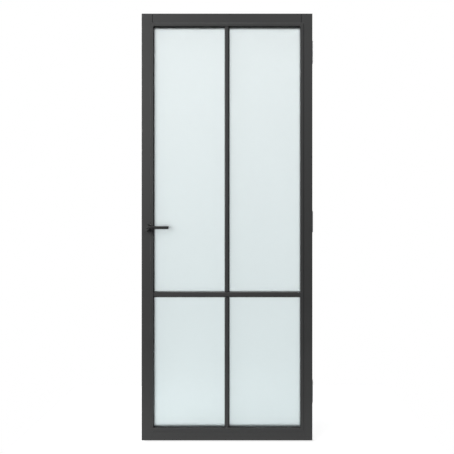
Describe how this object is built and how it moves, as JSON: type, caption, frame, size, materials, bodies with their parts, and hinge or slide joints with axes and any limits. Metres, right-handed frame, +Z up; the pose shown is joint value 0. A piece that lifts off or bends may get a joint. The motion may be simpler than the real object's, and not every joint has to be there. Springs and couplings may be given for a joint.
{
  "type": "glass door",
  "caption": "Interior door leaf with a satin glass pane in a dark slim frame, applied glazing bars, straight levers, a mortise latch and butt hinges.",
  "frame": {"origin": "the middle of the leaf's bottom edge: mid width, mid thickness, on the bottom face", "axes": "+Z up the leaf; +Y through its thickness towards the back, where the hinges' knuckles are and where it opens to; +X along its width from the lock side to the hinge side"},
  "size_m": [0.82, 0.144, 2.032],
  "materials": {
    "lacquer": "matt anthracite lacquer on wood",
    "dowel_wood": "bare beech",
    "satin_glass": "satin, acid etched",
    "glazing_tape": "black foam tape",
    "block_plastic": "moulded, black",
    "black_metal": "fine matt black powder coat",
    "steel": "brushed",
    "spring_steel": "drawn wire, oiled"
  },
  "bodies": {
    "frame_side": {"hinge_frame_flap_top": "steel", "hinge_frame_flap_middle": "steel", "hinge_frame_flap_bottom": "steel", "hinge_pin_top": "steel", "hinge_pin_middle": "steel", "hinge_pin_bottom": "steel"},
    "leaf": {"lock_stile": "lacquer", "hinge_stile": "lacquer", "top_rail": "lacquer", "bottom_rail": "lacquer", "bead_front_left": "lacquer", "bead_front_right": "lacquer", "bead_front_top": "lacquer", "bead_front_bottom": "lacquer", "bead_back_left": "lacquer", "bead_back_right": "lacquer", "bead_back_top": "lacquer", "bead_back_bottom": "lacquer", "cross_bar_front": "lacquer", "cross_bar_back": "lacquer", "upright_bar_front_upper": "lacquer", "upright_bar_front_lower": "lacquer", "upright_bar_back_upper": "lacquer", "upright_bar_back_lower": "lacquer", "rail_dowels": "dowel_wood", "glass_pane": "satin_glass", "glazing_tape_front": "glazing_tape", "glazing_tape_back": "glazing_tape", "bar_tape_front": "glazing_tape", "bar_tape_back": "glazing_tape", "setting_blocks": "block_plastic", "rose_cover_front": "black_metal", "rose_cover_back": "black_metal", "rose_base_front": "steel", "rose_base_back": "steel", "rose_screws": "steel", "lock_case": "steel", "lock_cover": "steel", "lock_faceplate": "steel", "faceplate_screws": "steel", "hinge_door_screws": "steel", "hinge_door_flap_top": "steel", "hinge_door_flap_middle": "steel", "hinge_door_flap_bottom": "steel", "return_spring": "spring_steel", "latch_spring": "spring_steel"},
    "handle": {"lever_front": "black_metal", "lever_back": "black_metal", "spindle": "steel", "grub_screws": "steel", "follower": "steel"},
    "latch": {"latch_bolt": "steel"}
  },
  "joints": [
    {"name": "leaf_swing", "type": "hinge", "parent": "frame_side", "child": "leaf", "pos_m": [0.4075, 0.0265, 1.041], "axis": [0, 0, -1], "range_deg": [0, 170]},
    {"name": "handle_turn", "type": "hinge", "parent": "leaf", "child": "handle", "pos_m": [-0.379, 0, 1.013], "axis": [0, 1, 0], "range_deg": [0, 40], "stiffness_Nm_per_rad": 1.2, "springref_deg": -22.92, "deforming": ["return_spring"]},
    {"name": "latch_slide", "type": "slide", "parent": "leaf", "child": "latch", "axis": [-1, 0, 0], "range_m": [0, 0.01], "stiffness_N_per_m": 80, "springref_m": -0.01, "deforming": ["latch_spring"]}
  ]
}
